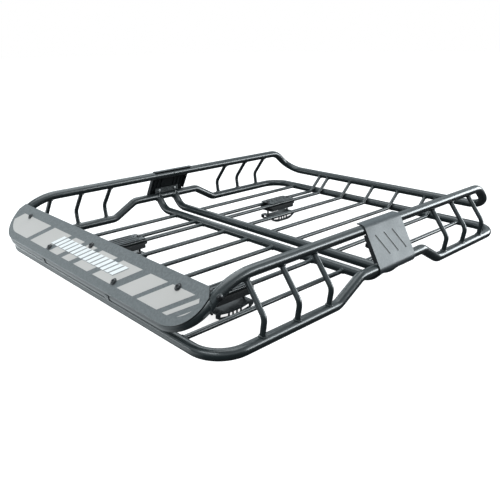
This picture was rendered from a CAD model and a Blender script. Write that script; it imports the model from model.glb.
"""Roof cargo basket: finished pieces, finishes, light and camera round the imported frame."""
import math

import bmesh
import bpy
from mathutils import Matrix, Vector


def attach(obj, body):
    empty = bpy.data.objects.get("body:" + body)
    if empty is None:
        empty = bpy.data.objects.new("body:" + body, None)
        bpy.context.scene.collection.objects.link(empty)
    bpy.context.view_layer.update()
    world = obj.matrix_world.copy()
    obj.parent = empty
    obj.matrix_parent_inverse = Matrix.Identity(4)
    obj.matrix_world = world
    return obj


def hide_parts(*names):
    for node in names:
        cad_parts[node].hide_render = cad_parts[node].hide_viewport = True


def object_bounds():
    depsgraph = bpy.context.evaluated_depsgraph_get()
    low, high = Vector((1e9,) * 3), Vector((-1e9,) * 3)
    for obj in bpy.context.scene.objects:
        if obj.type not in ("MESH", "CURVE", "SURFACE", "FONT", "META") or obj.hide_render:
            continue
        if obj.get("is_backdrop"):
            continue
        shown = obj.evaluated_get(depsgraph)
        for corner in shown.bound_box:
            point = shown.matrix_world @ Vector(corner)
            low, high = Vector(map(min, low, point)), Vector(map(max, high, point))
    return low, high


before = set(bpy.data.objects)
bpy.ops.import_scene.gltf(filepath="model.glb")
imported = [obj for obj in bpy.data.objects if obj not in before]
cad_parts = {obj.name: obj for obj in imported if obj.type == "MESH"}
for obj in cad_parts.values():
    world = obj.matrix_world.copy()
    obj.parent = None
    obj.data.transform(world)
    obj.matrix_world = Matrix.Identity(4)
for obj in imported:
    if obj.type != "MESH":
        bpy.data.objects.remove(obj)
cad_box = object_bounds()

# Sizes of the frame, in metres. +X is the left side, -Y the front, +Z up.
GAP = 0.0003
FLOOR_Z = 0.075  # axis of the floor rods and of the lower rails
RAIL_R = 0.0143
RIM_R = 0.0143  # rims and mid cross tubes
ROD_R = 0.0067
POST_R = 0.007

RAIL_HALF_W = 0.5435
RAIL_HALF_L = 0.642
RAIL_CORNER = 0.080
STEP_UP = 0.0515  # the lower rail's rise beside the split
STEP_Y = (0.151, 0.2425)  # the step's upper and lower corners
STEP_BEND = 0.041
SPLIT_GAP = 0.0006

RIM_HALF_W = 0.4895
RIM_UP = 0.1495
RIM_END_Y = {"front": 0.6728, "rear": 0.680}
RIM_END_UP = {"front": 0.0494, "rear": 0.0654}
RIM_DIVE_Y = {"front": 0.568, "rear": 0.586}
RIM_DIVE_BEND = {"front": 0.200, "rear": 0.085}
RIM_CORNER = {"front": 0.094, "rear": 0.076}

MID_Y = 0.0394
MID_UP = 0.003
MID_HALF_W = 0.496
MID_BEND = 0.060

PAIR_X = 0.2665  # middle of each pair of floor rods, which carries the clamps
PAIR_HALF = 0.023
ROD_X = {"outer": 0.409, "pair_outer": PAIR_X + PAIR_HALF, "pair_inner": PAIR_X - PAIR_HALF, "inner": 0.120}
ROD_BEND = 0.018

POST_Y = (0.279, 0.395, 0.510)
POST_KNEE_OUT = 0.009
POST_KNEE_UP = 0.060
POST_BEND = 0.030
POST_TOP_IN = 0.006  # the posts aim this far inboard of the rim's axis

PANEL_T = 0.0025
PANEL_LIP = 0.0045  # how far the panel goes past the front tube's axis
PANEL_BACK = 0.1205  # length of the panel down its slope
PANEL_HALF_W = 0.495
PANEL_NOTCH = (0.017, 0.024)  # cut off the rear corners, across and down the slope
PANEL_CORNER = 0.086
SCREW_REAR = (0.394, 0.031)  # across, down the slope
SCREW_FRONT = (0.180, 0.088)
SCREW_HEAD = (0.0098, 0.0058)  # radius, height
SCREW_SHANK = (0.003, 0.014)  # radius, length
CLIP_W = 0.018
CLIP_T = 0.0015
CLIP_TAIL = 0.012
CLIP_END = 415  # degrees, where the strap's wrap round the tube ends

COVER_HALF_L = 0.085
COVER_T = 0.003
COVER_RETURN = 0.011
COVER_WRAP = -62  # degrees, where the cover's wrap under the lower rail ends
GROOVE = (0.036, 0.0032, 0.0012)  # half length, half width, depth
GROOVE_Y = (-0.040, 0.0, 0.040)
GROOVE_TURN = 28  # degrees
COVER_RIB = (0.0012, 0.0030)  # half thickness and height of the ribs inside a cover
COVER_RIB_Y = (-0.066, -0.048, -0.030, 0.030, 0.048, 0.066)
BRACKET = (0.056, 0.003, 0.019)  # half length, thickness, height
BRACKET_X = 0.539
COVER_BOLT = (0.038, 0.0095, 0.003)  # place along Y, height above the foot, radius
COVER_BOLT_HEAD = (0.0058, 0.004)  # radius, height
COVER_BOLT_TIP = 0.5434

CLAMP_Y = 0.372
CLAMP_BOLT_Y = 0.058
CLAMP_BOLT_R = 0.004
BOLT_HEAD = (0.0085, 0.0048)  # radius, height
BOLT_TIP = -0.061
THREAD_TOP = -0.027
THREAD = (0.0015, 0.0006)  # pitch, depth
PLATE = (0.033, 0.067, 0.003)  # half width, half length, thickness
RIB_X = (-0.024, -0.008, 0.008, 0.024)
RIB = (0.0025, 0.044, 0.003)  # half width, half length, height
BLOCK = (0.032, 0.066, -0.025)  # half width, half length, underside
BLOCK_TONGUE = (0.078, 0.005)  # half length, thickness
JAW = (0.031, 0.068, 0.003)  # half width, half length, thickness
JAW_TOP = (-0.045, -0.0515)  # top at the ends and in the saddle
JAW_SADDLE = (0.034, 0.045)  # where the saddle's slope starts and ends
JAW_FOOT = 0.022  # half length of the flat foot
JAW_TIP = -0.0585  # underside at the ends
JAW_NUT = (0.0078, -0.0560)  # radius, underside
SMALL_SLOTS = (0.0145, 0.0050, -0.0618, 0.0048)  # pitch, half length, height, half height
LARGE_SLOT = (0.0385, 0.0140, -0.0588, 0.0042)  # place along Y, half length, height, half height
LARGE_SLOT_TILT = 9  # degrees

TUBE_SIDES = 40
ROD_SIDES = 20
BEND_STEP = math.radians(4)
SHARP_EDGE = math.radians(32)  # an edge that turns by more than this isn't smoothed over
CHAMFER = 0.001
BEAD = 0.0028  # radius of the weld beads on posts
ROD_BEAD = BEAD * 0.9
BIG_BEAD = 0.0032  # on the mid cross tubes
RIPPLE = 0.11  # share by which a bead's thickness swells and shrinks from ripple to ripple
UNEVEN = 0.10  # and from place to place
RIPPLE_SIDES = 4  # rings to a ripple

SIDES = (("right", -1), ("left", 1))
ENDS = (("front", -1), ("rear", 1))


# Finishes --------------------

def put(tree, kind, inputs=None, **settings):
    """Add a shader node; inputs holds, by socket name or number, a value or the socket that feeds it."""
    node = tree.nodes.new("ShaderNode" + kind)
    for name, value in settings.items():
        setattr(node, name, value)
    for socket, value in (inputs or {}).items():
        if isinstance(value, bpy.types.NodeSocket):
            tree.links.new(value, node.inputs[socket])
        else:
            node.inputs[socket].default_value = value
    return node


def maths(tree, operation, a, b=0.0, clamp=False):
    return put(tree, "Math", {0: a, 1: b}, operation=operation, use_clamp=clamp).outputs[0]


def span(tree, value, low, high, to_low=0.0, to_high=1.0):
    inputs = {"Value": value, "From Min": low, "From Max": high, "To Min": to_low, "To Max": to_high}
    return put(tree, "MapRange", inputs).outputs[0]


def blend_colour(tree, share, a, b):
    return put(tree, "Mix", {0: share, 6: a, 7: b}, data_type="RGBA").outputs[2]


def place_on_piece(tree):
    return put(tree, "TexCoord").outputs["Object"]


def new_group(name, inputs, outputs):
    tree = bpy.data.node_groups.new(name, "ShaderNodeTree")
    for label, kind, value in inputs:
        socket = tree.interface.new_socket(label, in_out="INPUT", socket_type="NodeSocket" + kind)
        socket.default_value = value
    for label, kind in outputs:
        tree.interface.new_socket(label, in_out="OUTPUT", socket_type="NodeSocket" + kind)
    return tree, tree.nodes.new("NodeGroupInput").outputs, tree.nodes.new("NodeGroupOutput").inputs


def orange_peel_group():
    """The shallow dimples of a sprayed or moulded skin."""
    tree, given, result = new_group("orange_peel", [("Scale", "Float", 900.0)], [("Height", "Float")])
    where = place_on_piece(tree)
    coarse = put(tree, "TexNoise", {"Vector": where, "Scale": given["Scale"], "Detail": 1.5}).outputs[0]
    double = maths(tree, "MULTIPLY", given["Scale"], 2.7)
    fine = put(tree, "TexNoise", {"Vector": where, "Scale": double, "Detail": 1.0}).outputs[0]
    height = maths(tree, "ADD", maths(tree, "MULTIPLY", coarse, 0.7), maths(tree, "MULTIPLY", fine, 0.3))
    tree.links.new(height, result["Height"])
    return tree


def tone_drift_group():
    """A slow drift between two tones, with fine flecks of the second one."""
    sockets = [("Colour", "Color", (1, 1, 1, 1)), ("Second", "Color", (1, 1, 1, 1)), ("Scale", "Float", 9.0),
               ("Fleck Scale", "Float", 1600.0), ("Flecks", "Float", 0.3)]
    tree, given, result = new_group("tone_drift", sockets, [("Colour", "Color"), ("Drift", "Float")])
    where = place_on_piece(tree)
    slow = put(tree, "TexNoise", {"Vector": where, "Scale": given["Scale"], "Detail": 4.0}).outputs[0]
    drift = span(tree, slow, 0.35, 0.65)
    fleck = put(tree, "TexNoise", {"Vector": where, "Scale": given["Fleck Scale"], "Detail": 0.0}).outputs[0]
    fleck = maths(tree, "MULTIPLY", span(tree, fleck, 0.60, 0.72), given["Flecks"])
    share = maths(tree, "ADD", maths(tree, "MULTIPLY", drift, 0.6), fleck, clamp=True)
    tree.links.new(blend_colour(tree, share, given["Colour"], given["Second"]), result["Colour"])
    tree.links.new(drift, result["Drift"])
    return tree


def edge_wear_group():
    """Rubbed edges: the sharper the edge the more it shows, broken up by noise."""
    sockets = [("Amount", "Float", 0.6), ("Breakup", "Float", 160.0)]
    tree, given, result = new_group("edge_wear", sockets, [("Mask", "Float")])
    sharp = span(tree, put(tree, "NewGeometry").outputs["Pointiness"], 0.515, 0.60)
    where = place_on_piece(tree)
    patchy = put(tree, "TexNoise", {"Vector": where, "Scale": given["Breakup"], "Detail": 5.0}).outputs[0]
    worn = maths(tree, "MULTIPLY", sharp, span(tree, patchy, 0.40, 0.62))
    tree.links.new(maths(tree, "MULTIPLY", worn, given["Amount"], clamp=True), result["Mask"])
    return tree


def dust_group():
    """A thin veil of dust on what faces up."""
    sockets = [("Amount", "Float", 0.2), ("Scale", "Float", 28.0)]
    tree, given, result = new_group("dust_veil", sockets, [("Mask", "Float")])
    facing = put(tree, "SeparateXYZ", {0: put(tree, "NewGeometry").outputs["Normal"]}).outputs[2]
    where = place_on_piece(tree)
    texture = {"Vector": where, "Scale": given["Scale"], "Detail": 8.0, "Roughness": 0.65}
    cloud = span(tree, put(tree, "TexNoise", texture).outputs[0], 0.38, 0.75)
    lying = maths(tree, "MULTIPLY", span(tree, facing, 0.2, 1.0), cloud)
    tree.links.new(maths(tree, "MULTIPLY", lying, given["Amount"], clamp=True), result["Mask"])
    return tree


def scuff_group():
    """Fine straight scuffs, in patches."""
    sockets = [("Amount", "Float", 0.3), ("Stretch", "Vector", (900.0, 40.0, 40.0))]
    tree, given, result = new_group("scuffs", sockets, [("Mask", "Float")])
    where = place_on_piece(tree)
    along = put(tree, "VectorMath", {0: where, 1: given["Stretch"]}, operation="MULTIPLY").outputs[0]
    lines = put(tree, "TexNoise", {"Vector": along, "Scale": 1.0, "Detail": 2.0}).outputs[0]
    patches = put(tree, "TexNoise", {"Vector": where, "Scale": 22.0, "Detail": 2.0}).outputs[0]
    mask = maths(tree, "MULTIPLY", span(tree, lines, 0.62, 0.72), span(tree, patches, 0.48, 0.62))
    tree.links.new(maths(tree, "MULTIPLY", mask, given["Amount"], clamp=True), result["Mask"])
    return tree


GROUPS = {"peel": orange_peel_group(), "drift": tone_drift_group(), "wear": edge_wear_group(),
          "dust": dust_group(), "scuffs": scuff_group()}
DUST_COLOUR = (0.42, 0.42, 0.40, 1)


def use(tree, name, inputs):
    node = put(tree, "Group", node_tree=GROUPS[name])
    for socket, value in inputs.items():
        node.inputs[socket].default_value = value
    return node.outputs


def finish_material(name, colour, second, rough, peel, bump, metallic=0.0, coat=0.0, coat_rough=0.2,
                    drift=9.0, flecks=0.3, wear=0.0, wear_colour=(0.42, 0.43, 0.43), dust=0.15, scuffs=0.2):
    """A coated or moulded finish: drifting tone, worn edges, scuffs and dust over a dimpled skin. peel is how
    many dimples there are to a metre, and bump their depth in metres."""
    mat = bpy.data.materials.new(name)
    mat.use_nodes = True
    tree = mat.node_tree
    shader = tree.nodes["Principled BSDF"]
    tones = {"Colour": (*colour, 1), "Second": (*second, 1), "Scale": drift, "Flecks": flecks}
    tone = use(tree, "drift", tones)
    worn = use(tree, "wear", {"Amount": wear})["Mask"]
    scuffed = use(tree, "scuffs", {"Amount": scuffs})["Mask"]
    dusty = use(tree, "dust", {"Amount": dust})["Mask"]
    marked = maths(tree, "MAXIMUM", worn, maths(tree, "MULTIPLY", scuffed, 0.35))
    shade = blend_colour(tree, marked, tone["Colour"], (*wear_colour, 1))
    tree.links.new(blend_colour(tree, dusty, shade, DUST_COLOUR), shader.inputs["Base Color"])
    roughness = span(tree, tone["Drift"], 0.0, 1.0, rough * 0.90, rough * 1.12)
    roughness = maths(tree, "ADD", roughness, maths(tree, "MULTIPLY", scuffed, 0.18))
    roughness = maths(tree, "ADD", roughness, maths(tree, "MULTIPLY", dusty, 0.35), clamp=True)
    tree.links.new(roughness, shader.inputs["Roughness"])
    if wear and metallic < 1:
        tree.links.new(maths(tree, "MAXIMUM", worn, metallic), shader.inputs["Metallic"])
    else:
        shader.inputs["Metallic"].default_value = metallic
    shader.inputs["Coat Weight"].default_value = coat
    shader.inputs["Coat Roughness"].default_value = coat_rough
    dimples = use(tree, "peel", {"Scale": peel})["Height"]
    relief = put(tree, "Bump", {"Strength": 1.0, "Distance": bump, "Height": dimples})
    tree.links.new(relief.outputs[0], shader.inputs["Normal"])
    return mat


FINISHES = {
    "frame_steel": finish_material(
        "satin_tube_coat", (0.020, 0.028, 0.030), (0.026, 0.035, 0.037), 0.30, 520, 0.00001,
        coat=0.5, coat_rough=0.20, flecks=0.10, dust=0.02, scuffs=0.10),
    "clamp_steel": finish_material(
        "clamp_coat", (0.030, 0.036, 0.039), (0.042, 0.049, 0.052), 0.34, 700, 0.00010,
        coat=0.3, coat_rough=0.15, wear=0.35, dust=0.08, scuffs=0.3),
    "panel": finish_material(
        "panel_paint", (0.119, 0.132, 0.135), (0.123, 0.136, 0.139), 0.52, 800, 0.000004,
        coat=0.2, coat_rough=0.35, drift=5.0, flecks=0.02, wear=0.15, wear_colour=(0.45, 0.46, 0.47),
        dust=0.02, scuffs=0.04),
    "cover": finish_material(
        "cover_paint", (0.058, 0.070, 0.077), (0.064, 0.076, 0.083), 0.42, 700, 0.00001,
        drift=14.0, flecks=0.06, wear=0.15, wear_colour=(0.45, 0.48, 0.50), dust=0.03, scuffs=0.10),
    "undercoat": finish_material(
        "undercoat", (0.016, 0.019, 0.022), (0.026, 0.030, 0.033), 0.46, 600, 0.0002,
        coat=0.1, dust=0.10, scuffs=0.2),
    "black_screw": finish_material(
        "black_oxide", (0.020, 0.021, 0.023), (0.034, 0.035, 0.037), 0.30, 1400, 0.00006,
        metallic=0.55, coat=0.2, wear=0.7, dust=0.05, scuffs=0.5),
    "zinc_bolt": finish_material(
        "zinc_plate", (0.40, 0.41, 0.42), (0.50, 0.49, 0.46), 0.30, 1800, 0.00004,
        metallic=1.0, drift=70.0, flecks=0.2, dust=0.05, scuffs=0.7),
    "block": finish_material(
        "moulded_block", (0.018, 0.019, 0.020), (0.030, 0.031, 0.032), 0.62, 1100, 0.00030,
        dust=0.22, scuffs=0.3, flecks=0.4),
    "film": finish_material(
        "pale_film", (0.545, 0.515, 0.49), (0.58, 0.55, 0.525), 0.40, 900, 0.00001,
        coat=0.2, drift=6.0, flecks=0.04, dust=0.03, scuffs=0.05),
    "white_film": finish_material(
        "white_film", (0.90, 0.91, 0.91), (0.95, 0.95, 0.95), 0.36, 900, 0.00001,
        coat=0.2, drift=6.0, flecks=0.03, dust=0.02, scuffs=0.03),
    "grey_film": finish_material(
        "grey_film", (0.250, 0.255, 0.250), (0.275, 0.28, 0.275), 0.40, 900, 0.00001,
        coat=0.2, drift=6.0, flecks=0.1, dust=0.05, scuffs=0.1),
}


# Mesh making --------------------

def to_mesh(name, bm):
    bmesh.ops.recalc_face_normals(bm, faces=bm.faces)
    mesh = bpy.data.meshes.new(name)
    bm.to_mesh(mesh)
    bm.free()
    mesh.shade_smooth()
    mesh.set_sharp_from_angle(angle=SHARP_EDGE)
    obj = bpy.data.objects.new(name, mesh)
    bpy.context.scene.collection.objects.link(obj)
    return obj


def darken(piece, chosen):
    """Gives the dark undercoat to a piece's chosen faces."""
    piece.data.materials.append(FINISHES["undercoat"])
    for face in piece.data.polygons:
        if chosen(face):
            face.material_index = 1


def finished_piece(name, bm, finish, body, nodes=(), slot=None):
    """A piece of the visual model, in place: it rides on body and stands for the given frame nodes."""
    obj = to_mesh(name, bm)
    obj.data.materials.append(FINISHES[finish])
    settle = obj.modifiers.new("even_normals", "WEIGHTED_NORMAL")
    settle.keep_sharp = True
    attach(obj, body)
    if nodes:
        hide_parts(*nodes)
    slot or finish
    return obj


def carved(bm, operation, cutters):
    """bm joined with, or cut by, each of the cutters, all closed meshes."""
    obj = to_mesh("carving", bm)
    tools = [to_mesh("carving_tool", cutter) for cutter in cutters]
    for tool in tools:
        cut = obj.modifiers.new("cut", "BOOLEAN")
        cut.operation = operation
        cut.solver = "EXACT"
        cut.object = tool
    bpy.context.view_layer.update()
    result = bmesh.new()
    result.from_object(obj, bpy.context.evaluated_depsgraph_get())
    for used in [obj] + tools:
        mesh = used.data
        bpy.data.objects.remove(used)
        bpy.data.meshes.remove(mesh)
    bmesh.ops.remove_doubles(result, verts=result.verts, dist=1e-6)
    return result


def soften(bm, width, segments=2, angle=35):
    """Round every edge that turns by more than angle."""
    limit = math.radians(angle)
    edges = [e for e in bm.edges if len(e.link_faces) == 2 and e.calc_face_angle() > limit]
    bmesh.ops.bevel(bm, geom=edges, offset=width, offset_type="OFFSET", segments=segments, profile=0.5,
                    affect="EDGES", clamp_overlap=True)


def rounded(points, radii):
    """The polyline through points, with a smooth bend of the given radius at each inner point."""
    points = [Vector(p) for p in points]
    path = [points[0]]
    for before, corner, after, radius in zip(points, points[1:], points[2:], radii):
        u, v = (before - corner).normalized(), (after - corner).normalized()
        half = u.angle(v) / 2
        centre = corner + (u + v).normalized() * radius / math.sin(half)
        start = corner + u * radius / math.tan(half) - centre
        sweep = math.pi - 2 * half
        count = max(3, math.ceil(sweep / BEND_STEP))
        axis = u.cross(v).normalized()
        path += [centre + Matrix.Rotation(-sweep * i / count, 3, axis) @ start for i in range(count + 1)]
    return path + [points[-1]]


def tangents_of(path, closed=False):
    if closed:
        return [(b - a).normalized() for a, b in zip(path[-1:] + path[:-1], path[1:] + path[:1])]
    ways = [(b - a).normalized() for a, b in zip(path, path[1:])]
    return [ways[0]] + [(a + b).normalized() for a, b in zip(ways, ways[1:])] + [ways[-1]]


def nearest_piece(path, target):
    """The point of path nearest to target, and the path's direction there."""
    best = None
    for a, b in zip(path, path[1:]):
        way = b - a
        share = min(1, max(0, (target - a).dot(way) / way.length_squared))
        point = a + way * share
        if best is None or (point - target).length < best[0]:
            best = ((point - target).length, point, way.normalized())
    return best[1], best[2]


def meet(point, way, other):
    """Where a line from point along way first meets the tube other = (axis point, direction, radius)."""
    centre, axis, radius = other
    w = point - centre
    w = w - axis * w.dot(axis)
    d = way - axis * way.dot(axis)
    a, b, c = d.length_squared, w.dot(d), w.length_squared - radius * radius
    root = b * b - a * c
    return point + way * ((-b - math.sqrt(root)) / a if root > 0 else -b / a)


def saddle(tip, way, radius, other, sides):
    """The ring where a round bar, which runs along way to tip, meets the tube other."""
    u = way.orthogonal().normalized()
    v = way.cross(u)
    reach = 4 * other[2]
    spokes = [u * math.cos(t) + v * math.sin(t) for t in (2 * math.pi * i / sides for i in range(sides))]
    return [(meet(tip + s * radius - way * reach, way, other), s) for s in spokes]


def add_rings(bm, rings, caps=True, loop=False):
    rings = [[bm.verts.new(p) for p in ring] for ring in rings]
    pairs = list(zip(rings, rings[1:])) + ([(rings[-1], rings[0])] if loop else [])
    sides = len(rings[0])
    for a, b in pairs:
        for i in range(sides):
            j = (i + 1) % sides
            bm.faces.new((a[i], a[j], b[j], b[i]))
    if caps and not loop:
        bm.faces.new(rings[0][::-1])
        bm.faces.new(rings[-1])


def add_tube(bm, path, radius, sides, first=None, last=None):
    """Sweep a round bar along path. first and last are tubes that its ends are coped to, or None for a plain
    end with a small chamfer."""
    path = list(path)
    if first is None:
        path.insert(1, path[0] + (path[1] - path[0]).normalized() * CHAMFER)
    if last is None:
        path.insert(-1, path[-1] + (path[-2] - path[-1]).normalized() * CHAMFER)
    ways = tangents_of(path)
    normal = ways[0].orthogonal().normalized()
    rings = []
    turns = [2 * math.pi * i / sides for i in range(sides)]
    for index, (point, way) in enumerate(zip(path, ways)):
        normal = (normal - way * normal.dot(way)).normalized()
        side = way.cross(normal)
        spokes = [normal * math.cos(t) + side * math.sin(t) for t in turns]
        other, outward = None, way
        r = radius
        if index == 0:
            other, outward = first, -way
        elif index == len(path) - 1:
            other = last
        if index in (0, len(path) - 1) and other is None:
            r = radius - CHAMFER
        ring = [point + s * r for s in spokes]
        if other is not None:
            inner = (other[0], other[1], other[2] - GAP)
            ring = [meet(p - outward * 4 * other[2], outward, inner) for p in ring]
        rings.append(ring)
    add_rings(bm, rings)


def add_bead(bm, tip, way, radius, other, bead):
    """A rippled fillet weld round the joint between a bar and the tube that it is coped to."""
    ripples = max(10, round(2 * math.pi * radius / (bead * 1.5)))
    line = saddle(tip, way, radius, other, ripples * RIPPLE_SIDES)
    points = [p for p, _ in line]
    ways = tangents_of(points, closed=True)
    rings = []
    for i, ((point, spoke), along) in enumerate(zip(line, ways)):
        centre, axis, _ = other
        off_tube = point - centre
        off_tube = (off_tube - axis * off_tube.dot(axis)).normalized()
        out = off_tube + spoke
        out = (out - along * out.dot(along)).normalized()
        side = along.cross(out)
        swell = RIPPLE * math.cos(2 * math.pi * i / RIPPLE_SIDES)
        drift = UNEVEN * math.sin(1.7 * i / RIPPLE_SIDES + 9 * point.x)
        size = bead * (1 + swell + drift)
        middle = point + out * bead * 0.18
        rings.append([middle + (out * math.cos(t) + side * math.sin(t)) * size
                      for t in (math.pi / 4 * k for k in range(8))])
    add_rings(bm, rings, loop=True)


def add_prism(bm, outline, low, high):
    """The solid between two copies of an outline, which low and high each put in place."""
    add_rings(bm, [[low(p) for p in outline], [high(p) for p in outline]])


def strip(line, thickness):
    """The closed outline of a sheet of the given thickness, which lies on the left of a flat polyline."""
    line = [Vector(p) for p in line]
    ways = [(b - a).normalized() for a, b in zip(line, line[1:])]
    offset = []
    for i, point in enumerate(line):
        first, last = ways[max(i - 1, 0)], ways[min(i, len(ways) - 1)]
        out = Vector((-(first + last).y, (first + last).x)).normalized()
        offset.append(point + out * thickness / out.dot(Vector((-first.y, first.x))))
    return line + offset[::-1]


def arc(centre, radius, start, end, steps):
    turns = [math.radians(start + (end - start) * i / steps) for i in range(steps + 1)]
    return [(centre[0] + radius * math.cos(t), centre[1] + radius * math.sin(t)) for t in turns]


def round_rectangle(half_x, half_y, radius, steps=6):
    outline = []
    for x, y, start in ((1, 1, 0), (-1, 1, 90), (-1, -1, 180), (1, -1, 270)):
        outline += arc((x * (half_x - radius), y * (half_y - radius)), radius, start, start + 90, steps)
    return outline


def turned_rings(place, profile, sides=28):
    """Rings of a turned shape: profile holds (height, radius) or (height, radius, share of a hexagon)."""
    rings = []
    for height, radius, *hexed in profile:
        ring = []
        for i in range(sides):
            t = 2 * math.pi * i / sides
            flat = math.cos(math.pi / 6) / math.cos((t + math.pi / 6) % (math.pi / 3) - math.pi / 6)
            r = radius * (1 + (flat - 1) * (hexed[0] if hexed else 0))
            ring.append(place(r * math.cos(t), r * math.sin(t), height))
        rings.append(ring)
    return rings


# Welded frame --------------------

def both_ways(points, end):
    """A route from the left end at the split round to the right end."""
    route = [(-x, end * y, FLOOR_Z + z) for x, y, z in points]
    return route + [(x, end * y, FLOOR_Z + z) for x, y, z in reversed(points)]


def lower_route(end):
    points = [(RAIL_HALF_W, SPLIT_GAP / 2, STEP_UP), (RAIL_HALF_W, STEP_Y[0], STEP_UP),
              (RAIL_HALF_W, STEP_Y[1], 0), (RAIL_HALF_W, RAIL_HALF_L, 0)]
    bends = [STEP_BEND, STEP_BEND, RAIL_CORNER]
    return rounded(both_ways(points, end), bends + bends[::-1])


def rim_route(end_name, end):
    points = [(RIM_HALF_W, SPLIT_GAP / 2, RIM_UP), (RIM_HALF_W, RIM_DIVE_Y[end_name], RIM_UP),
              (RIM_HALF_W, RIM_END_Y[end_name], RIM_END_UP[end_name])]
    bend, corner = RIM_DIVE_BEND[end_name], RIM_CORNER[end_name]
    return rounded(both_ways(points, end), [bend, corner, corner, bend])


def mid_route(end):
    points = [(RAIL_HALF_W, MID_Y, STEP_UP), (MID_HALF_W, MID_Y, MID_UP)]
    return rounded(both_ways(points, end), [MID_BEND, MID_BEND])


def strut_start(end_name):
    """Where a floor rod must turn up to clear the lower rail on its way to the rim."""
    across, rise = RIM_END_Y[end_name] - RAIL_HALF_L, RIM_END_UP[end_name]
    clear = RAIL_R + ROD_R + GAP
    lean = math.atan2(rise, across) - math.asin(clear / math.hypot(across, rise))
    return RIM_END_Y[end_name] - rise / math.tan(lean)


def rod_route(kind, end_name, end, x):
    start = (x, end * MID_Y, FLOOR_Z)
    if kind == "outer":
        return [Vector(start), Vector((x, end * RAIL_HALF_L, FLOOR_Z))]
    turn = (x, end * strut_start(end_name), FLOOR_Z)
    top = (x, end * RIM_END_Y[end_name], FLOOR_Z + RIM_END_UP[end_name])
    return rounded([start, turn, top], [ROD_BEND])


def add_welded_bar(bm, path, radius, sides, first_route, last_route, bead):
    """A bar whose ends are coped and welded to the tubes that run along the two routes."""
    ends = []
    for tip, (route, tube_radius) in ((path[0], first_route), (path[-1], last_route)):
        point, way = nearest_piece(route, tip)
        ends.append((point, way, tube_radius))
    add_tube(bm, path, radius, sides, *ends)
    add_bead(bm, path[0], (path[0] - path[1]).normalized(), radius, ends[0], bead)
    add_bead(bm, path[-1], (path[-1] - path[-2]).normalized(), radius, ends[1], bead)


def build_half(end_name, end):
    lower, rim, mid = lower_route(end), rim_route(end_name, end), mid_route(end)
    on_lower, on_rim, on_mid = (lower, RAIL_R), (rim, RIM_R), (mid, RIM_R)

    bm = bmesh.new()
    add_tube(bm, lower, RAIL_R, TUBE_SIDES)
    node = "lower_rail_" + end_name
    finished_piece(node + "_tube", bm, "frame_steel", "basket", [node])

    bm = bmesh.new()
    add_tube(bm, rim, RIM_R, TUBE_SIDES)
    for _, side in SIDES:
        for y in POST_Y:
            foot = Vector((side * RAIL_HALF_W, end * y, FLOOR_Z))
            knee = Vector((side * (RAIL_HALF_W + POST_KNEE_OUT), end * y, FLOOR_Z + POST_KNEE_UP))
            top = Vector((side * (RIM_HALF_W - POST_TOP_IN), end * y, FLOOR_Z + RIM_UP))
            path = rounded([foot, knee, top], [POST_BEND])
            add_welded_bar(bm, path, POST_R, ROD_SIDES, on_lower, on_rim, BEAD)
    node = "upper_rail_" + end_name
    finished_piece(node + "_tube", bm, "frame_steel", "basket", [node])

    bm = bmesh.new()
    add_welded_bar(bm, mid, RIM_R, TUBE_SIDES, on_lower, on_lower, BIG_BEAD)
    node = "mid_cross_tube_" + end_name
    finished_piece(node + "_tube", bm, "frame_steel", "basket", [node])

    rods = [("centre", "inner", 0.0)]
    for kind, x in ROD_X.items():
        rods += [("%s_%s" % (kind, side_name), kind, side * x) for side_name, side in SIDES]
    for label, kind, x in rods:
        bm = bmesh.new()
        path = rod_route(kind, end_name, end, x)
        at_end = on_lower if kind == "outer" else on_rim
        add_welded_bar(bm, path, ROD_R, ROD_SIDES, on_mid, at_end, ROD_BEAD)
        if kind != "outer":
            add_tacks(bm, path, end, x)
        node = "floor_rod_%s_%s" % (end_name, label)
        finished_piece(node + "_bar", bm, "frame_steel", "basket", [node])


def add_tacks(bm, path, end, x):
    """Two tack welds where a rod rests against the lower rail as it climbs to the rim."""
    rail = Vector((x, end * RAIL_HALF_L, FLOOR_Z))
    near, way = nearest_piece(path, rail)
    off = (rail - near).normalized()
    for side in (-1, 1):
        centre = near + off * ROD_R * 0.95 + Vector((side * ROD_R * 0.75, 0, 0))
        rings = []
        for i in range(1, 8):
            t = math.pi * i / 8
            size = BEAD * 1.25 * math.sin(t)
            middle = centre - way * BEAD * 2.4 * math.cos(t)
            rings.append([middle + (off * math.cos(a) + Vector((1, 0, 0)) * math.sin(a)) * size
                          for a in (math.pi / 5 * k for k in range(10))])
        add_rings(bm, rings)


# Front panel --------------------

FILM_T = 0.00025
FILM_INSET = 0.023  # the bare border round the stripes
FILM_SIDE_INSET = 0.013  # and at the panel's two ends
FILM_BACK = 0.030  # the stripes' rear edge, down the slope
FILM_FRONT = PANEL_BACK - FILM_INSET
FILM_LEAN = 1.2  # how far a stripe shifts sideways for each unit up the slope
# Pale stripes, as the two ends of each at the stripes' front edge.
PALE_STRIPES = ((-0.52, -0.328), (-0.302, -0.196), (-0.170, -0.118), (-0.092, -0.048), (-0.022, 0.055),
                (0.082, 0.170), (0.204, 0.274), (0.293, 0.374), (0.395, 0.413), (0.434, 0.452))
BAR_ROW = (-0.186, 0.180, 0.041, 0.075)  # left, right, rear and front of the row of white bars
BAR_PITCH = 0.0235
BAR_SHARE = 0.70  # of the pitch that a bar fills
BAR_SHADOW = (0.0016, 0.0012)  # how far a bar's grey shadow is shifted, and how much wider it is
RIM_BOLT = (0.5936, 0.0089, 0.0050)  # place along Y, radius and height of the dome bolts in the rims
RIM_BOLT_TURN = (-0.09, 0.14)  # how far they turn to the front and up, for each unit outwards


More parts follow.
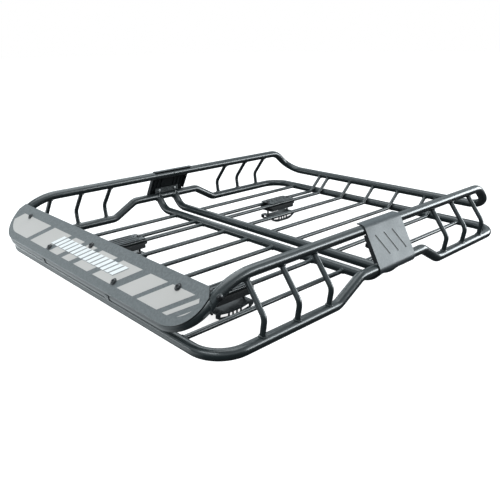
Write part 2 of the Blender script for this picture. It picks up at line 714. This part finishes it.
def slope_point(across, along, height):
    """A point in the panel's frame: across, down the slope from its rear edge, above its underside."""
    start = Vector((0, -RIM_DIVE_Y["front"], FLOOR_Z + RIM_UP))
    finish = Vector((0, -RIM_END_Y["front"], FLOOR_Z + RIM_END_UP["front"]))
    down = (finish - start).normalized()
    normal = Vector((-1, 0, 0)).cross(down)
    lip = finish + normal * (RIM_R + GAP) + down * PANEL_LIP
    return lip + down * (along - PANEL_BACK) + normal * height + Vector((across, 0, 0))


def panel_outline(inset=0.0, side_inset=0.0):
    """The panel's outline, or one that lies inside it by inset and, at the two ends, by side_inset."""
    in_x, in_y = PANEL_NOTCH
    half_w = PANEL_HALF_W - side_inset
    front = PANEL_BACK - inset
    centre = (PANEL_HALF_W - PANEL_CORNER, PANEL_BACK - PANEL_CORNER)
    reach = (PANEL_CORNER - side_inset, PANEL_CORNER - inset)
    half = [(half_w - in_x, inset), (half_w, inset + in_y)]
    half += [(centre[0] + x * reach[0], centre[1] + y * reach[1]) for x, y in arc((0, 0), 1, 0, 90, 28)]
    half[-1] = (half[-1][0], front)
    return half + [(-x, y) for x, y in reversed(half)]


def add_film(bm, outline, cuts, low, high):
    """A thin film with the given flat outline, cut off beyond each of the cuts (point, outward direction)."""
    flat = bmesh.new()
    flat.faces.new([flat.verts.new((x, y, 0)) for x, y in outline])
    for point, outward in cuts:
        everything = flat.verts[:] + flat.edges[:] + flat.faces[:]
        bmesh.ops.bisect_plane(flat, geom=everything, plane_co=point, plane_no=outward, clear_outer=True)
    for face in flat.faces:
        corners = [v.co.copy() for v in face.verts]
        add_prism(bm, corners, lambda c: slope_point(c.x, c.y, low), lambda c: slope_point(c.x, c.y, high))
    flat.free()


def stripe_cuts(start, end, front):
    lean = Vector((1, FILM_LEAN, 0)).normalized()
    return [(Vector((start, front, 0)), -lean), (Vector((end, front, 0)), lean)]


def build_panel():
    bm = bmesh.new()
    add_prism(bm, panel_outline(), lambda p: slope_point(*p, 0), lambda p: slope_point(*p, PANEL_T))
    soften(bm, 0.0008, 3)
    sheet = finished_piece("front_panel_sheet", bm, "panel", "basket", ["front_panel"])
    upward = (slope_point(0, 0, 1) - slope_point(0, 0, 0)).normalized()
    darken(sheet, lambda face: face.normal.dot(upward) < 0.97)

    bm = bmesh.new()
    for start, end in PALE_STRIPES:
        cuts = stripe_cuts(start, end, FILM_FRONT) + [(Vector((0, FILM_BACK, 0)), Vector((0, -1, 0)))]
        add_film(bm, panel_outline(FILM_INSET, FILM_SIDE_INSET), cuts, PANEL_T, PANEL_T + FILM_T)
    finished_piece("front_panel_pale_stripes", bm, "film", "basket", slot="panel")

    left, right, back, front = BAR_ROW
    count = int((right - left) / BAR_PITCH)
    margin = BAR_PITCH * 4
    layers = (("shadow", "grey_film", BAR_SHADOW, 2), ("white", "white_film", (0, 0), 3))
    for name, finish, (shift, wider), top in layers:
        bm = bmesh.new()
        for i in range(count):
            start = left + i * BAR_PITCH + shift
            end = start + BAR_PITCH * BAR_SHARE + wider
            row = [(left - margin, back + shift), (right + margin, back + shift),
                   (right + margin, front + shift), (left - margin, front + shift)]
            add_film(bm, row, stripe_cuts(start, end, front + shift), PANEL_T, PANEL_T + FILM_T * top)
        finished_piece("front_panel_%s_bars" % name, bm, finish, "basket", slot="panel")

    build_panel_screws()
    build_panel_clips()
    build_rim_bolts()


def build_panel_screws():
    (rear_x, rear_y), (front_x, front_y) = SCREW_REAR, SCREW_FRONT
    places = {"rear_right": (-rear_x, rear_y), "rear_centre": (0, rear_y), "rear_left": (rear_x, rear_y),
              "front_right": (-front_x, front_y), "front_left": (front_x, front_y)}
    head_r, head_h = SCREW_HEAD
    shank_r, shank_l = SCREW_SHANK
    seat = PANEL_T + GAP
    dome = 0.0017
    profile = [(-shank_l, shank_r * 0.8), (-shank_l + 0.0006, shank_r), (seat, shank_r),
               (seat, head_r * 0.97), (seat + 0.0004, head_r), (seat + 0.0011, head_r),
               (seat + 0.0015, head_r * 0.96), (seat + dome, head_r * 0.80)]
    for degrees in range(11, 78, 11):
        t = math.radians(degrees)
        profile.append((seat + dome + (head_h - dome) * math.sin(t), head_r * 0.78 * math.cos(t) ** 0.75))
    profile += [(seat + head_h, head_r * 0.235, 0.5), (seat + head_h - 0.0003, head_r * 0.22, 1),
                (seat + head_h - 0.0024, head_r * 0.215, 1)]
    for name, (x, y) in places.items():
        def place(dx, dy, height, x=x, y=y):
            return slope_point(x + dx, y + dy, height)
        bm = bmesh.new()
        add_rings(bm, turned_rings(place, profile, 36))
        node = "panel_screw_" + name
        finished_piece(node + "_dome", bm, "black_screw", "basket", [node])


def build_rim_bolts():
    place_y, radius, height = RIM_BOLT
    route = rim_route("front", -1)
    for side_name, side in SIDES:
        point, _ = nearest_piece(route, Vector((side * RIM_HALF_W, -place_y, FLOOR_Z + RIM_UP * 0.8)))
        out = Vector((side, *RIM_BOLT_TURN)).normalized()
        across = out.orthogonal().normalized()
        along = out.cross(across)

        def place(dx, dy, height, point=point, out=out, across=across, along=along):
            return point + across * dx + along * dy + out * (RIM_R + height)
        dome = 0.0016
        profile = [(-0.004, radius * 0.9), (0.0006, radius), (0.0014, radius)]
        for t in (math.radians(degrees) for degrees in range(0, 80, 11)):
            profile.append((dome + (height - dome) * math.sin(t), radius * 0.9 * math.cos(t)))
        bm = bmesh.new()
        add_rings(bm, turned_rings(place, profile))
        finished_piece("rim_bolt_" + side_name, bm, "black_screw", "basket")


def build_panel_clips():
    reach = RIM_R + GAP
    tube_at = PANEL_BACK - PANEL_LIP
    line = [(SCREW_FRONT[1] - CLIP_TAIL, -GAP), (tube_at - reach - GAP, -GAP)]
    line += arc((tube_at, -reach), reach + GAP, 180, CLIP_END, 44)
    for side_name, side in SIDES:
        low, high = [side * SCREW_FRONT[0] + half for half in (-CLIP_W / 2, CLIP_W / 2)]
        bm = bmesh.new()
        add_prism(bm, strip(line, -CLIP_T), lambda p: slope_point(low, *p), lambda p: slope_point(high, *p))
        soften(bm, 0.0004, 2)
        node = "panel_clip_" + side_name
        finished_piece(node + "_strap", bm, "clamp_steel", "basket", [node], slot="frame_steel")


# Side covers --------------------

def face_angle():
    """How far a cover's flat face leans back, in degrees."""
    across, rise = RAIL_HALF_W - RIM_HALF_W, RIM_UP - STEP_UP
    return math.degrees(math.atan2(across, rise) + math.asin((RAIL_R - RIM_R) / math.hypot(across, rise)))


def build_covers():
    turn = math.radians(face_angle())
    out = Vector((math.cos(turn), math.sin(turn)))
    rim_reach, rail_reach = RIM_R + 2 * GAP, RAIL_R + 2 * GAP
    top = Vector((RIM_HALF_W, RIM_UP)) + out * rim_reach
    foot = Vector((RAIL_HALF_W, STEP_UP)) + out * rail_reach
    down = (foot - top).normalized()
    line = [(RIM_HALF_W - RIM_R, RIM_UP + rim_reach)]
    line += arc((RIM_HALF_W, RIM_UP), rim_reach, 90, face_angle(), 12)
    line += arc((RAIL_HALF_W, STEP_UP), rail_reach, face_angle(), COVER_WRAP, 20)
    skin = strip(line, COVER_T)
    first, last = top + down * rim_reach * 1.05, foot - down * rail_reach * 1.05

    def wall(depth):
        return [first + out * COVER_T / 2, first - out * depth, last - out * depth, last + out * COVER_T / 2]

    middle = (top + foot) / 2 + out * COVER_T
    for side_name, side in SIDES:
        def at(y, p, side=side):
            return Vector((side * p[0], y, FLOOR_Z + p[1]))
        bm = bmesh.new()
        add_prism(bm, skin, lambda p: at(-COVER_HALF_L, p), lambda p: at(COVER_HALF_L, p))
        walls = [(end * (COVER_HALF_L - GAP), end * (COVER_HALF_L - COVER_T), COVER_RETURN)
                 for _, end in ENDS]
        walls += [(y - COVER_RIB[0], y + COVER_RIB[0], COVER_RIB[1]) for y in COVER_RIB_Y]
        joined = []
        for low, high, depth in walls:
            part = bmesh.new()
            add_prism(part, wall(depth), lambda p: at(low, p), lambda p: at(high, p))
            joined.append(part)
        bm = carved(bm, "UNION", joined)
        bm = carved(bm, "DIFFERENCE", cover_grooves(at, middle, down, out))
        soften(bm, 0.0006, 2, 50)
        node = "side_cover_" + side_name
        cover = finished_piece(node + "_shell", bm, "cover", "basket", [node])
        darken(cover, lambda face: hidden_side(face, side, out, middle))


def cover_grooves(at, middle, down, out):
    half_l, half_w, depth = GROOVE
    turn = Matrix.Rotation(-math.radians(GROOVE_TURN), 2)
    grooves = []
    for centre in GROOVE_Y:
        outline = [Vector((centre, 0)) + turn @ Vector(p)
                   for p in round_rectangle(half_w, half_l, half_w * 0.98)]
        bm = bmesh.new()
        add_prism(bm, outline, lambda p: at(p[0], middle + down * p[1] - out * depth),
                  lambda p: at(p[0], middle + down * p[1] + out * depth))
        grooves.append(bm)
    return grooves


def hidden_side(face, side, out, middle):
    """Whether a face of a cover's skin keeps the dark undercoat: the inside, the ends and the grooves."""
    outward = Vector((side * out.x, 0, out.y))
    off_centre = face.center - Vector((side * middle.x, 0, FLOOR_Z + middle.y))
    depth = GROOVE[2]
    sunk = depth * 0.1 < -off_centre.dot(outward) < depth * 1.1
    in_groove = sunk and abs(off_centre.z) < GROOVE[0] and off_centre.cross(outward).length < COVER_HALF_L
    return face.normal.dot(outward) < -0.2 or abs(face.normal.y) > 0.9 or in_groove


def build_brackets():
    half_l, thick, high = BRACKET
    bolt_y, bolt_up, bolt_r = COVER_BOLT
    head_r, head_h = COVER_BOLT_HEAD
    foot = FLOOR_Z + STEP_UP + RAIL_R + GAP
    inner, outer = BRACKET_X - thick / 2, BRACKET_X + thick / 2
    for side_name, side in SIDES:
        outline = round_rectangle(half_l, high / 2, 0.004)
        bm = bmesh.new()
        add_prism(bm, outline, lambda p: Vector((side * inner, p[0], foot + high / 2 + p[1])),
                  lambda p: Vector((side * outer, p[0], foot + high / 2 + p[1])))
        soften(bm, 0.0005, 2)
        node = "cover_bracket_" + side_name
        finished_piece(node + "_plate", bm, "clamp_steel", "basket", [node], slot="frame_steel")
        for end_name, end in ENDS:
            def place(dy, dz, x, end=end):
                return Vector((side * x, end * bolt_y + dy, foot + bolt_up + dz))
            seat = inner - GAP
            profile = [(seat - head_h + 0.0016, head_r * 0.30, 1), (seat - head_h + 0.0002, head_r * 0.32, 1),
                       (seat - head_h, head_r * 0.45), (seat - head_h * 0.93, head_r * 0.72),
                       (seat - head_h * 0.66, head_r * 0.93), (seat - head_h * 0.30, head_r), (seat, head_r),
                       (seat, bolt_r), (COVER_BOLT_TIP, bolt_r)]
            bm = bmesh.new()
            add_rings(bm, turned_rings(place, profile))
            node = "cover_bolt_%s_%s" % (end_name, side_name)
            finished_piece(node + "_head", bm, "zinc_bolt", "basket", [node])


# Clamps --------------------

def jaw_outline():
    """The jaw's flange seen from the side: raised ends, a saddle between them, and a bowed underside."""
    end_top, dip = JAW_TOP
    slope_start, slope_end = JAW_SADDLE
    half_l = JAW[1]
    half = [(slope_start, dip), (slope_end, end_top), (half_l - 0.004, end_top),
            (half_l - 0.0012, end_top - 0.0012), (half_l, end_top - 0.004)]
    steps = 14
    for i in range(steps + 1):
        share = 1 - i / steps
        half.append((JAW_FOOT + (half_l - JAW_FOOT) * share, -FLOOR_Z + (JAW_TIP + FLOOR_Z) * share ** 2))
    return half + [(-y, z) for y, z in reversed(half)]


def jaw_cavity():
    """The open space under the jaw's web, which follows the web's top."""
    end_top, dip = JAW_TOP
    slope_start, slope_end = JAW_SADDLE
    far, thick = JAW[1] + 0.01, JAW[2]
    half = [(slope_start, dip - thick), (slope_end, end_top - thick), (far, end_top - thick),
            (far, -FLOOR_Z - 0.01)]
    return half + [(-y, z) for y, z in reversed(half)]


def jaw_slots():
    pitch, half_l, up, half_h = SMALL_SLOTS
    slots = [(i * pitch, up, half_l, half_h, 0) for i in (-1, 0, 1)]
    at, half_l, up, half_h = LARGE_SLOT
    slots += [(side * at, up, half_l, half_h, side * LARGE_SLOT_TILT) for side in (-1, 1)]
    for y, z, half_l, half_h, tilt in slots:
        turn = Matrix.Rotation(math.radians(tilt), 2)
        yield [Vector((y, z)) + turn @ Vector(p) for p in round_rectangle(half_l, half_h, 0.0018, 4)]


def add_thread(bm, place, top, tip, radius):
    """A threaded stud from top down to tip, with a pointed end."""
    pitch, depth = THREAD
    sides, per_turn = 20, 6
    rows = int((top - tip - 0.001) / pitch * per_turn)
    rings = [[place(radius * math.cos(t), radius * math.sin(t), top + 0.001)
              for t in (2 * math.pi * i / sides for i in range(sides))]]
    for row in range(rows + 1):
        z = top - row * pitch / per_turn
        ring = []
        for i in range(sides):
            share = (row / per_turn + i / sides) % 1
            r = radius - depth * (1 - abs(2 * share - 1))
            t = 2 * math.pi * i / sides
            ring.append(place(r * math.cos(t), r * math.sin(t), z))
        rings.append(ring)
    end_r = radius - depth * 1.6
    rings.append([place(end_r * math.cos(t), end_r * math.sin(t), tip)
                  for t in (2 * math.pi * i / sides for i in range(sides))])
    add_rings(bm, rings)


def build_clamp(label, x, y):
    origin = Vector((x, y, FLOOR_Z))
    body, jaw_body = "clamp_" + label, "jaw_" + label
    low = ROD_R + GAP

    def level_prism(outline, z_low, z_high):
        bm = bmesh.new()
        add_prism(bm, outline, lambda p: origin + Vector((*p, z_low)),
                  lambda p: origin + Vector((*p, z_high)))
        return bm

    half_w, half_l, thick = PLATE
    rib_w, rib_l, rib_h = RIB
    bm = level_prism(round_rectangle(half_w, half_l, 0.006), low, low + thick)
    ribs = [level_prism([(rib + u, v) for u, v in round_rectangle(rib_w, rib_l, rib_w * 0.98)],
                        low + thick / 2, low + thick + rib_h) for rib in RIB_X]
    bm = carved(bm, "UNION", ribs)
    soften(bm, 0.0009, 3, 50)
    node = "clamp_%s_top_plate" % label
    finished_piece(node + "_ribbed", bm, "clamp_steel", body, [node])

    half_w, half_l, under = BLOCK
    tongue_l, tongue_t = BLOCK_TONGUE
    bm = level_prism(round_rectangle(half_w, half_l, 0.007), under, -low - tongue_t / 2)
    tongue = level_prism(round_rectangle(half_w - 0.0005, tongue_l, 0.015, 8), -low - tongue_t, -low)
    bm = carved(bm, "UNION", [tongue])
    soften(bm, 0.0014, 3, 50)
    node = "clamp_%s_block" % label
    finished_piece(node + "_moulding", bm, "block", body, [node])

    seat = low + thick + GAP
    head_r, head_h = BOLT_HEAD
    hex_r = head_r * 0.80
    for end_name, end in ENDS:
        def place(dx, dy, z, end=end):
            return origin + Vector((dx, end * CLAMP_BOLT_Y + dy, z))
        bm = bmesh.new()
        add_rings(bm, turned_rings(place, [
            (THREAD_TOP, CLAMP_BOLT_R), (seat, CLAMP_BOLT_R), (seat, head_r * 0.97), (seat + 0.0003, head_r),
            (seat + 0.0009, head_r), (seat + 0.0013, head_r * 0.93), (seat + 0.0014, hex_r, 1),
            (seat + head_h - 0.0007, hex_r, 1), (seat + head_h - 0.0001, hex_r * 0.86, 0.4),
            (seat + head_h, hex_r * 0.80)], 36))
        add_thread(bm, place, THREAD_TOP, BOLT_TIP, CLAMP_BOLT_R)
        node = "clamp_%s_%s_bolt" % (label, end_name)
        finished_piece(node + "_stud", bm, "black_screw", body, [node])

        nut_r, nut_under = JAW_NUT
        bm = bmesh.new()
        add_rings(bm, turned_rings(place, [
            (nut_under, nut_r * 0.80), (nut_under + 0.0001, nut_r * 0.86, 0.4),
            (nut_under + 0.0009, nut_r, 1), (JAW_TOP[0] - JAW[2], nut_r, 1)], 36))
        finished_piece("clamp_%s_%s_nut" % (label, end_name), bm, "black_screw", jaw_body)

    def side_prism(outline, half):
        bm = bmesh.new()
        add_prism(bm, outline, lambda p: origin + Vector((-half, *p)), lambda p: origin + Vector((half, *p)))
        return bm

    cutters = [side_prism(jaw_cavity(), JAW[0] - JAW[2])]
    cutters += [side_prism(slot, JAW[0] + 0.01) for slot in jaw_slots()]
    bm = carved(side_prism(jaw_outline(), JAW[0]), "DIFFERENCE", cutters)
    soften(bm, 0.0008, 3, 40)
    node = "clamp_%s_jaw" % label
    finished_piece(node + "_casting", bm, "clamp_steel", jaw_body, [node])


# Stage --------------------

FLOOR_HALF = 40.0
LAMP_TINT = (0.93, 1.0, 1.03)
FRONT_CARD = 1.1  # glow of a card on the floor ahead of the basket, seen only in reflections
CARD_FADE_Y = (-0.645, -0.72)  # the card fades in between these,
CARD_FADE_X = (0.30, 0.50)  # and out again between these
# Tones of the studio's walls, from the floor (0.09) to overhead (1).
WALL_FLOOR, WALL_TOP = (0.01, 0.01, 0.01, 1), (0.40, 0.41, 0.42, 1)
WALL_TONES = ((0.12, 0.10), (0.30, 0.22), (0.42, 0.80), (0.62, 0.85), (0.80, 0.40))
LIGHTS = (  # name, place, aimed at, width, height, watts
    ("back_left_strip", (2.9, 3.5, 1.02), (0.5, 0, 0.15), 4.6, 1.3, 190),
    ("front_right_strip", (-3.7, -2.7, 0.55), (0, -0.5, 0.1), 4.2, 0.70, 34),
    ("front_softbox", (0.8, -2.6, 2.2), (0, -0.2, 0.1), 2.2, 0.8, 24),
    ("top_softbox", (-0.2, 0.3, 2.6), (0, 0, 0.1), 2.6, 2.6, 50),
    ("right_softbox", (-2.8, 0.6, 1.6), (0, 0, 0.1), 2.0, 0.7, 12),
)
CAMERA_PLACE = (1.3489, -1.2894, 0.6989)
CAMERA_HEADING = 0.8231  # radians round from the front
CAMERA_PITCH = 0.3477
CAMERA_ROLL = -0.0137
CAMERA_LENS = 40.671


def build_stage():
    """A pale floor, whose reflection in the tubes is darker and has a pale card ahead of the basket."""
    bm = bmesh.new()
    corners = ((-1, -1), (1, -1), (1, 1), (-1, 1))
    bm.faces.new([bm.verts.new((x * FLOOR_HALF, y * FLOOR_HALF, -GAP)) for x, y in corners])
    floor = to_mesh("studio_floor", bm)
    mat = bpy.data.materials.new("studio_floor_paint")
    mat.use_nodes = True
    tree = mat.node_tree
    tree.nodes.clear()
    seen = put(tree, "LightPath").outputs["Is Camera Ray"]
    pale = put(tree, "BsdfDiffuse", {"Color": (0.45, 0.45, 0.45, 1)})
    glow = put(tree, "Emission", {"Color": (1, 1, 1, 1), "Strength": 0.88})
    lit = put(tree, "AddShader", {0: pale.outputs[0], 1: glow.outputs[0]})
    dim = put(tree, "BsdfDiffuse", {"Color": (0.05, 0.052, 0.055, 1)})
    place = put(tree, "SeparateXYZ", {0: put(tree, "TexCoord").outputs["Object"]}).outputs
    ahead, beside = span(tree, place[1], *CARD_FADE_Y), span(tree, place[0], *CARD_FADE_X, 1.0, 0.0)
    share = maths(tree, "MULTIPLY", ahead, beside)
    strength = maths(tree, "MULTIPLY", share, FRONT_CARD)
    card = put(tree, "Emission", {"Color": (*LAMP_TINT, 1), "Strength": strength})
    unseen = put(tree, "AddShader", {0: dim.outputs[0], 1: card.outputs[0]})
    both = put(tree, "MixShader", {0: seen, 1: unseen.outputs[0], 2: lit.outputs[0]})
    tree.links.new(both.outputs[0], put(tree, "OutputMaterial").inputs["Surface"])
    floor.data.materials.append(mat)
    floor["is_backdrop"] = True


def build_world():
    world = bpy.data.worlds.new("studio_walls")
    bpy.context.scene.world = world
    world.use_nodes = True
    tree = world.node_tree
    tree.nodes.clear()
    up = put(tree, "SeparateXYZ", {0: put(tree, "TexCoord").outputs["Generated"]}).outputs[2]
    ramp = put(tree, "ValToRGB", {0: span(tree, up, -0.1, 1.0)})
    stops = ramp.color_ramp.elements
    stops[0].position, stops[0].color = 0.09, WALL_FLOOR
    stops[1].position, stops[1].color = 1.0, WALL_TOP
    for position, tone in WALL_TONES:
        stops.new(position).color = (tone * 0.90, tone, tone * 1.05, 1)
    walls = put(tree, "Background", {"Color": ramp.outputs[0]})
    white = put(tree, "Background", {"Color": (1, 1, 1, 1)})
    seen = put(tree, "LightPath").outputs["Is Camera Ray"]
    both = put(tree, "MixShader", {0: seen, 1: walls.outputs[0], 2: white.outputs[0]})
    tree.links.new(both.outputs[0], put(tree, "OutputWorld").inputs["Surface"])


def build_lights():
    """The two strips only draw the long highlights, and the softboxes light the piece as well."""
    for name, place, target, width, height, watts in LIGHTS:
        light = bpy.data.lights.new(name, "AREA")
        light.shape = "RECTANGLE"
        light.size, light.size_y, light.energy, light.color = width, height, watts, LAMP_TINT
        obj = bpy.data.objects.new(name, light)
        obj.location = place
        obj.rotation_euler = (Vector(target) - Vector(place)).to_track_quat("-Z", "Y").to_euler()
        obj.visible_diffuse = not name.endswith("strip")
        bpy.context.scene.collection.objects.link(obj)


def build_camera():
    turn, tilt, roll = CAMERA_HEADING, CAMERA_PITCH, CAMERA_ROLL
    back = Vector((math.sin(turn) * math.cos(tilt), -math.cos(turn) * math.cos(tilt), math.sin(tilt)))
    level = Vector((math.cos(turn), math.sin(turn), 0))
    upright = back.cross(level)
    across = level * math.cos(roll) + upright * math.sin(roll)
    data = bpy.data.cameras.new("studio_camera")
    data.lens, data.sensor_width = CAMERA_LENS, 36.0
    camera = bpy.data.objects.new("studio_camera", data)
    facing = Matrix((across, back.cross(across), back)).transposed()
    camera.matrix_world = Matrix.Translation(CAMERA_PLACE) @ facing.to_4x4()
    bpy.context.scene.collection.objects.link(camera)
    bpy.context.scene.camera = camera


build_camera()
for half_name, half_end in ENDS:
    build_half(half_name, half_end)
build_panel()
build_covers()
build_brackets()
for half_name, half_end in ENDS:
    for clamp_side, clamp_x in SIDES:
        build_clamp("%s_%s" % (half_name, clamp_side), clamp_x * PAIR_X, half_end * CLAMP_Y)
build_stage()
build_world()
build_lights()
bpy.context.scene.view_settings.view_transform = "Standard"

boxes = {"cad": cad_box, "visual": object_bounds()}
{name: [list(corner) for corner in box] for name, box in boxes.items()}
